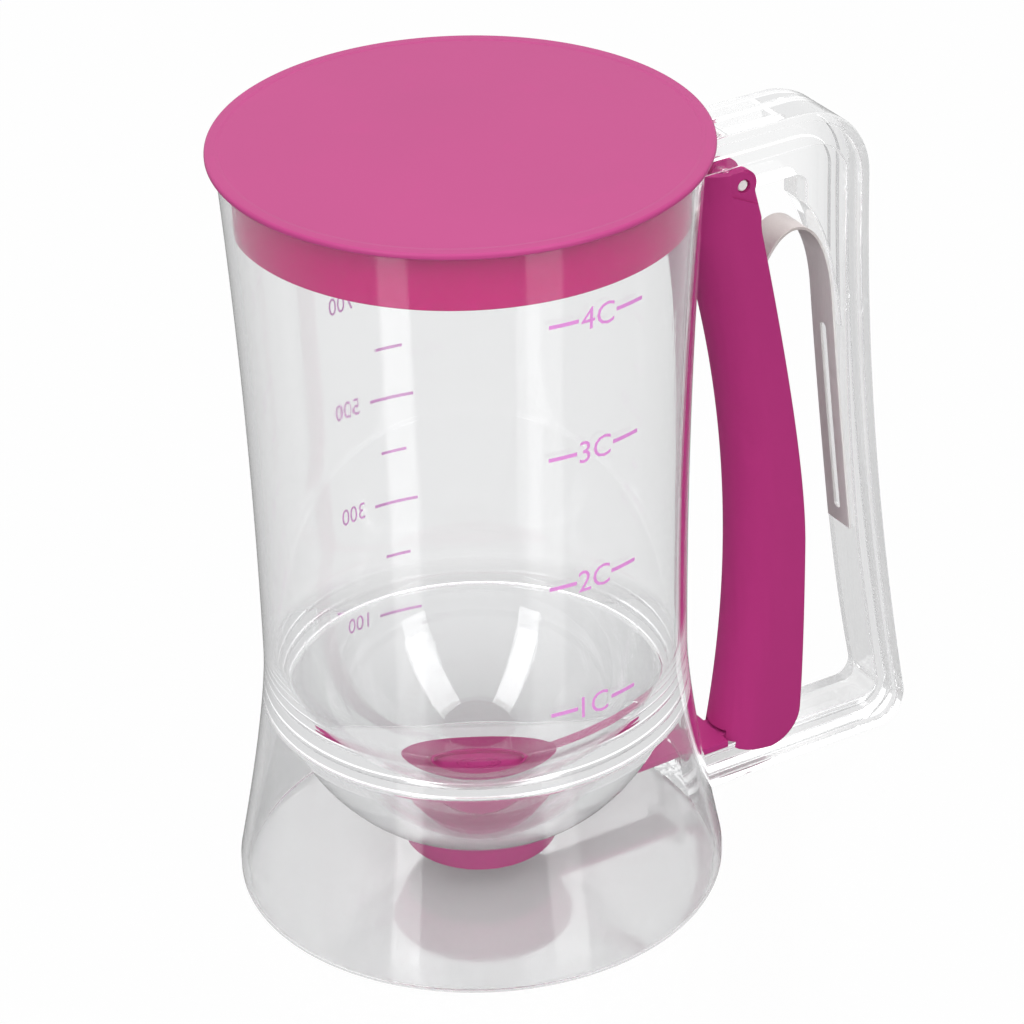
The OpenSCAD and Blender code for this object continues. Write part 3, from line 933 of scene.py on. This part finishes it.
def make_pin():
    """The steel hinge pin, with chamfered ends."""
    low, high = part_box("trigger_pin")
    chamfer = 0.2 * MM
    piece = hinge_rod(
        "hinge_pin", (low.y, PIN_R - chamfer), (low.y + chamfer, PIN_R),
        (high.y - chamfer, PIN_R), (high.y, PIN_R - chamfer),
    )
    material = rolled_steel("pin_steel", PIN_TINT, PIN_TINT, 0.4, (1.0, 1.0, 1.0))
    dress(piece, "container", material, "pin_steel", "trigger_pin")


def make_spring(sizes, looks):
    """The leaf spring: a strip bent between its root and the grip, with a long slot."""
    line = [Vector(p) for p in spring_line()]
    half_t = sizes.spring_t / 2
    half_w = sizes.spring_w / 2
    chamfer = 0.08 * MM
    rings = []
    for i, point in enumerate(line):
        way = (line[min(i + 1, len(line) - 1)] - line[max(i - 1, 0)]).normalized()
        side = Vector((-way.y, way.x))
        ring = []
        corners = (
            (half_w - chamfer, half_t), (half_w, half_t - chamfer),
            (half_w, -half_t + chamfer), (half_w - chamfer, -half_t),
            (-half_w + chamfer, -half_t), (-half_w, -half_t + chamfer),
            (-half_w, half_t - chamfer), (-half_w + chamfer, half_t),
        )
        for across, out in corners:
            spot = point + side * out
            ring.append((spot.x, across, spot.y))
        rings.append(ring)
    piece = sweep("leaf_spring", rings)
    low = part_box("return_spring")[0].z + 4 * MM + sizes.slot_w / 2
    high = HINGE_Z - 47.4 * MM
    end = arc((0.0, low), sizes.slot_w / 2, 180, 360, 12)
    end += arc((0.0, high), sizes.slot_w / 2, 0, 180, 12)
    cut = (GRIP_X - 15 * MM, GRIP_X + 15 * MM)
    slot = sweep("slot", [[(x, y, z) for y, z in end] for x in cut])
    carve(piece, slot)
    clean(piece)
    # The strip turns darker and slightly warmer towards the hinge
    darker_towards_hinge = [share * factor for share, factor in zip(looks.steel, (0.62, 0.57, 0.56))]
    material = rolled_steel("spring_steel", looks.steel, darker_towards_hinge, 0.3, (1.0, 1.0, 0.05))
    dress(piece, None, material, "spring_steel", "return_spring")
    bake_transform(piece)


def make_slider(material):
    """The valve slider: plate, bar, tab and hook."""
    box_low, box_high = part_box("valve_slider")
    seal_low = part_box("outlet_seal")[0].z
    low = box_low.z
    top = seal_low - SEAL_GAP
    plate_r = -box_low.x
    bar = 4 * MM
    tab_start = FOOT_R + 0.3 * MM
    tab_end = front_at(top + FOOT_WALL_GAP) + 0.1 * MM
    hook_x = box_high.x - 1.8 * MM
    tab = 7 * MM
    outline = arc((0.0, 0.0), plate_r, 90, 270, 40)
    outline += [(plate_r, -plate_r), (plate_r, -bar), (tab_start, -bar), (tab_start, -tab)]
    outline += [(tab_end, -tab), (tab_end, -bar), (box_high.x, -bar)]
    outline += [(x, -y) for x, y in outline[:-8:-1]]
    piece = sweep("valve_slide", [[(x, y, z) for x, y in outline] for z in (low, top)])
    hook = block("hook", (hook_x, -bar, low + 0.5 * MM), (box_high.x, bar, box_high.z))
    carve(piece, hook, "UNION")
    groove_w = 0.8 * MM
    groove_low = top - 0.4 * MM
    soft = 0.15 * MM
    for radius in (4.0 * MM, 5.9 * MM):
        groove = rounded([
            (radius - groove_w, groove_low, soft), (radius, groove_low, soft),
            (radius, top + 1 * MM, 0), (radius - groove_w, top + 1 * MM, 0),
        ])
        carve(piece, lathe("groove", groove, 96))
    clean(piece)
    soften(piece, 0.25 * MM, 2, 50)
    dress(piece, "slider", material, "pink_plastic", "valve_slider")


def make_housing(sizes, material):
    """The valve housing: a ring under the bowl with a channel for the slider."""
    low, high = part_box("valve_housing")
    outer = high.x
    foot_r = 17.8 * MM
    nozzle = 10.5 * MM
    radius, middle, *_ = bowl_shape(sizes)
    sunk = 0.01 * MM
    edge = 0.2 * MM
    rim = -math.degrees(math.acos(outer / radius))
    flat = -math.degrees(math.asin((middle - sizes.floor_z) / radius))
    floor_top = sizes.floor_z + sizes.floor_t
    top = arc((0.0, middle), radius - sunk, rim, flat, 12)
    outline = rounded([
        (nozzle, low.z, 0.5 * MM), (foot_r, low.z, 1.2 * MM), (*top[0], 0),
    ])
    outline += top[1:] + [
        (sizes.hole_r + sunk, sizes.floor_z + sunk), (sizes.hole_r + sunk, floor_top),
        (sizes.outlet_r + edge, floor_top), (sizes.outlet_r, floor_top - edge),
        (sizes.outlet_r, sizes.sill_z), (nozzle, sizes.sill_z),
    ]
    piece = lathe("valve_ring", outline, RING_FACETS)
    roof_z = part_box("outlet_seal")[0].z
    channel = 13.8 * MM
    end = arc((0.0, 0.0), channel, 90, 270, 40)
    past = outer + 5 * MM
    end += [(past, -channel), (past, channel)]
    carve(piece, sweep("channel", [
        [(x, y, z) for x, y in end] for z in (sizes.sill_z, roof_z)
    ]))
    inner_r, outer_r = 12.5 * MM, 13.6 * MM
    recess_low, recess_top = roof_z - 1 * MM, roof_z + 0.55 * MM
    recess = [
        (inner_r, recess_low), (outer_r, recess_low), (outer_r, recess_top), (inner_r, recess_top),
    ]
    carve(piece, lathe("recess", recess, RING_FACETS))
    clean(piece)
    dress(piece, "container", material, "pink_plastic", "valve_housing")


def make_seal():
    """The thin ring under the outlet."""
    low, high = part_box("outlet_seal")
    inner = 12.6 * MM
    soft = 0.2 * MM
    outline = rounded([
        (inner, low.z, soft), (high.x, low.z, soft), (high.x, high.z, soft),
        (inner, high.z, soft),
    ])
    piece = lathe("seal_ring", outline, RING_FACETS)
    dress(piece, "container", soft_seal(), "seal_rubber", "outlet_seal")


def on_wall(sizes, azimuth, z, lift):
    """A point over the container's outer face."""
    radius = barrel_r(sizes, z) + lift
    return (radius * math.cos(azimuth), radius * math.sin(azimuth), z)


def dash(sizes, name, start, end, z, thickness):
    """A printed line round the wall between two azimuths in degrees."""
    film = (0.02 * MM, 0.06 * MM)
    rings = []
    steps = 10
    for i in range(steps + 1):
        azimuth = math.radians(start + (end - start) * i / steps)
        low, high = z - thickness / 2, z + thickness / 2
        rings.append([
            on_wall(sizes, azimuth, low, film[0]), on_wall(sizes, azimuth, low, film[1]),
            on_wall(sizes, azimuth, high, film[1]), on_wall(sizes, azimuth, high, film[0]),
        ])
    return sweep(name, rings)


def figures(sizes, text, azimuth, z, tall, narrow):
    """Printed figures on the wall, centred on an azimuth in degrees and readable from outside."""
    font = bpy.data.curves.new(text, "FONT")
    font.body = text
    font.extrude = 0.5
    font.resolution_u = 3
    holder = new_object(text, font)
    graph = bpy.context.evaluated_depsgraph_get()
    mesh = bpy.data.meshes.new_from_object(holder.evaluated_get(graph))
    bpy.data.objects.remove(holder)
    bpy.data.curves.remove(font)
    across = [v.co.x for v in mesh.vertices]
    up = [v.co.y for v in mesh.vertices]
    scale = tall / (max(up) - min(up))
    centre_x = (max(across) + min(across)) / 2
    centre_y = (max(up) + min(up)) / 2
    for vertex in mesh.vertices:
        height = z + (vertex.co.y - centre_y) * scale
        turn = (vertex.co.x - centre_x) * scale * narrow / barrel_r(sizes, z)
        lift = (0.04 + 0.04 * vertex.co.z) * MM
        vertex.co = on_wall(sizes, math.radians(azimuth) + turn, height, lift)
    weld(mesh, 1e-6)
    return new_object("figures_" + text, mesh)


def merge(name, parts):
    """Join separate solids into one object."""
    work = bmesh.new()
    for part in parts:
        work.from_mesh(part.data)
        mesh = part.data
        bpy.data.objects.remove(part)
        bpy.data.meshes.remove(mesh)
    mesh = bpy.data.meshes.new(name)
    work.to_mesh(mesh)
    work.free()
    return new_object(name, mesh)


def make_scales(sizes, looks):
    """The printed cup scale in front and the millilitre scale opposite."""
    ink = printed_ink(looks.ink)
    cup_step = 32.87 * MM
    first_cup = 67.4 * MM
    line_t = 0.95 * MM
    parts = []
    for cups in range(1, 5):
        z = first_cup + (cups - 1) * cup_step
        parts.append(dash(sizes, "left", -100.6, -93.0, z, line_t))
        parts.append(dash(sizes, "right", -82.4, -74.2, z, line_t))
        parts.append(figures(sizes, f"{cups}C", -87.7, z, tall=5.4 * MM, narrow=0.95))
    cup_scale = merge("cup_scale", parts)
    dress(cup_scale, "container", ink, "scale_ink")
    parts = []
    heights = (40.4, 56.9, 71.5, 85.3, 99.7, 112.8, 127.3)
    for i, height in enumerate(heights):
        z = height * MM
        if i % 2:
            parts.append(dash(sizes, "short", 78.5, 86.1, z, 0.75 * MM))
            continue
        parts.append(dash(sizes, "long", 75.6, 88.9, z, 0.8 * MM))
        parts.append(figures(sizes, f"{i + 1}00", 96.5, z + 0.2 * MM, tall=4.4 * MM, narrow=0.8))
    millilitre_scale = merge("millilitre_scale", parts)
    dress(millilitre_scale, "container", ink, "scale_ink")


# ---- stage ----


def make_world():
    """A white studio that seen and refracted rays find white, and reflections find dimmer."""
    world = bpy.data.worlds.new("World")
    bpy.context.scene.world = world
    world.use_nodes = True
    graph = Graph(world.node_tree)
    seen, refracted, mirrored, inner = graph.rays()
    others = 1 - seen - refracted - mirrored - inner
    strength = seen + refracted + mirrored + inner * 1.6 + others * 0.5
    graph.finish(graph.add(
        "ShaderNodeBackground", {}, {"Color": WHITE, "Strength": strength}
    ), "ShaderNodeOutputWorld")


def softbox(name, azimuth, elevation, distance, size, power):
    """A rectangular soft light, placed by degrees, metres and watts, that looks at the middle."""
    data = bpy.data.lights.new(name, "AREA")
    data.shape = "RECTANGLE"
    data.size, data.size_y = size
    data.energy = power
    light = new_object(name, data)
    target = Vector((0.0, 0.0, 0.09))
    a, e = math.radians(azimuth), math.radians(elevation)
    way = Vector((math.cos(e) * math.cos(a), math.cos(e) * math.sin(a), math.sin(e)))
    light.location = target + way * distance
    light.rotation_euler = (-way).to_track_quat("-Z", "Y").to_euler()


def make_floor():
    """A pale floor that shows white, keeps a soft shadow, and has a painted shadow under the foot
    where it is seen through the wall.
    """
    radius = 3.0
    segments = 96
    points = [(radius * math.cos(2 * math.pi * k / segments),
               radius * math.sin(2 * math.pi * k / segments), -0.0006)
              for k in range(segments)]
    mesh = bpy.data.meshes.new("floor")
    mesh.from_pydata(points, [], [list(range(segments))])
    floor = new_object("floor", mesh)
    material, graph = new_material("floor_white")
    grain = graph.noise(30.0, 2.0)
    seen, refracted, mirrored, inner = graph.rays()
    # Mirrored rays find the floor dark, which keeps the clear edges crisp
    paint = graph.blend(grain, (0.5, 0.5, 0.5, 1.0), (0.54, 0.54, 0.54, 1.0))
    lit = graph.principled({
        "Base Color": graph.blend(mirrored, paint, (0.06, 0.06, 0.06, 1.0)),
        "Roughness": 0.08 + grain * 0.05,
        "Metallic": 0.25,
        "IOR": 2.0,
    })
    white = graph.add("ShaderNodeEmission", {}, {"Color": WHITE, "Strength": 1.0})
    away = graph.add("ShaderNodeVectorMath", {"operation": "LENGTH"}, {0: graph.place()}, "Value")
    # Painted shadow: seen through the wall, the floor is white away from the foot and fades to the
    # darker lit floor under it, which also carries its real shadow
    outside_painted_shadow = graph.ramp(away, 0.06, 0.11)
    share = seen * 0.98 + refracted * (0.14 + outside_painted_shadow * 0.78) + inner * 0.34
    graph.finish(graph.add("ShaderNodeMixShader", {}, {0: share, 1: lit, 2: white}))
    mesh.materials.append(material)


def make_camera():
    """The camera, aimed at the dispenser from its front left."""
    data = bpy.data.cameras.new("camera")
    data.lens = 151.4547
    data.sensor_width = 36.0
    data.clip_start = 0.05
    camera = new_object("camera", data)
    camera.location = (-0.42433, -0.73496, 0.58677)
    camera.rotation_euler = [math.radians(a) for a in (59.80331, 1.23360, -31.34106)]
    bpy.context.scene.camera = camera


def make_stage():
    """The world, floor, camera and three soft lights."""
    scene = bpy.context.scene
    scene.view_settings.view_transform = "Standard"
    scene.cycles.max_bounces = 16
    scene.cycles.glossy_bounces = 16
    scene.cycles.transmission_bounces = 16
    scene.cycles.transparent_max_bounces = 24
    make_world()
    make_floor()
    make_camera()
    softbox("left_softbox", -155, 38, distance=1.1, size=(0.28, 1.3), power=6.0)
    softbox("right_softbox", -81, 38, distance=1.1, size=(0.34, 1.3), power=6.0)
    softbox("top_softbox", 60, 75, distance=1.3, size=(0.9, 0.9), power=5.0)


# ---- operators and panel ----


def pink(scene):
    """The trigger's plastic, shared by the valve's pieces."""
    found = bpy.data.materials.get("moulded_pink")
    tint = scene.dispenser_looks.pink
    return found or moulded_plastic("moulded_pink", tint, tint, 0.46, 0.00002, 0.1)


class DISPENSER_OT_stage(bpy.types.Operator):
    """Add the floor, world, lights and camera."""

    bl_idname = "dispenser.stage"
    bl_label = "Stage"

    def execute(self, context):
        make_stage()
        return {"FINISHED"}


class DISPENSER_OT_body(bpy.types.Operator):
    """Build the container and its handle."""

    bl_idname = "dispenser.body"
    bl_label = "Clear body"

    def execute(self, context):
        scene = context.scene
        make_body(scene.dispenser_body, scene.dispenser_looks)
        return {"FINISHED"}


class DISPENSER_OT_lid(bpy.types.Operator):
    """Build the plug lid."""

    bl_idname = "dispenser.lid"
    bl_label = "Lid"

    def execute(self, context):
        scene = context.scene
        make_lid(scene.dispenser_body, scene.dispenser_looks)
        return {"FINISHED"}


class DISPENSER_OT_trigger(bpy.types.Operator):
    """Build the trigger and its pin."""

    bl_idname = "dispenser.trigger"
    bl_label = "Trigger"

    def execute(self, context):
        scene = context.scene
        make_trigger(scene.dispenser_trigger, scene.dispenser_body, pink(scene))
        make_pin()
        return {"FINISHED"}


class DISPENSER_OT_spring(bpy.types.Operator):
    """Build the leaf spring."""

    bl_idname = "dispenser.spring"
    bl_label = "Spring"

    def execute(self, context):
        scene = context.scene
        make_spring(scene.dispenser_trigger, scene.dispenser_looks)
        return {"FINISHED"}


class DISPENSER_OT_valve(bpy.types.Operator):
    """Build the slider, its housing and the seal."""

    bl_idname = "dispenser.valve"
    bl_label = "Valve"

    def execute(self, context):
        scene = context.scene
        make_slider(pink(scene))
        make_housing(scene.dispenser_body, pink(scene))
        make_seal()
        return {"FINISHED"}


class DISPENSER_OT_scales(bpy.types.Operator):
    """Print the cup and millilitre scales."""

    bl_idname = "dispenser.scales"
    bl_label = "Scales"

    def execute(self, context):
        scene = context.scene
        make_scales(scene.dispenser_body, scene.dispenser_looks)
        return {"FINISHED"}


OPERATORS = [
    DISPENSER_OT_stage,
    DISPENSER_OT_body,
    DISPENSER_OT_lid,
    DISPENSER_OT_trigger,
    DISPENSER_OT_spring,
    DISPENSER_OT_valve,
    DISPENSER_OT_scales,
]


class DISPENSER_PT_pieces(bpy.types.Panel):
    """Buttons that build the pieces."""

    bl_label = "Batter dispenser"
    bl_space_type = "VIEW_3D"
    bl_region_type = "UI"
    bl_category = "Dispenser"

    def draw(self, context):
        for kind in OPERATORS:
            self.layout.operator(kind.bl_idname)


CLASSES = [BodySizes, TriggerSizes, Finishes, *OPERATORS, DISPENSER_PT_pieces]


def register():
    """Add the sizes, colours, buttons and panel to Blender."""
    for kind in CLASSES:
        bpy.utils.register_class(kind)
    bpy.types.Scene.dispenser_body = PointerProperty(type=BodySizes)
    bpy.types.Scene.dispenser_trigger = PointerProperty(type=TriggerSizes)
    bpy.types.Scene.dispenser_looks = PointerProperty(type=Finishes)


def unregister():
    """Take them away again."""
    del bpy.types.Scene.dispenser_looks
    del bpy.types.Scene.dispenser_trigger
    del bpy.types.Scene.dispenser_body
    for kind in reversed(CLASSES):
        bpy.utils.unregister_class(kind)


def main():
    """Register the classes and build every piece in turn."""
    register()
    for kind in OPERATORS:
        getattr(bpy.ops.dispenser, kind.bl_idname.split(".")[1])()


if __name__ == "__main__":
    main()
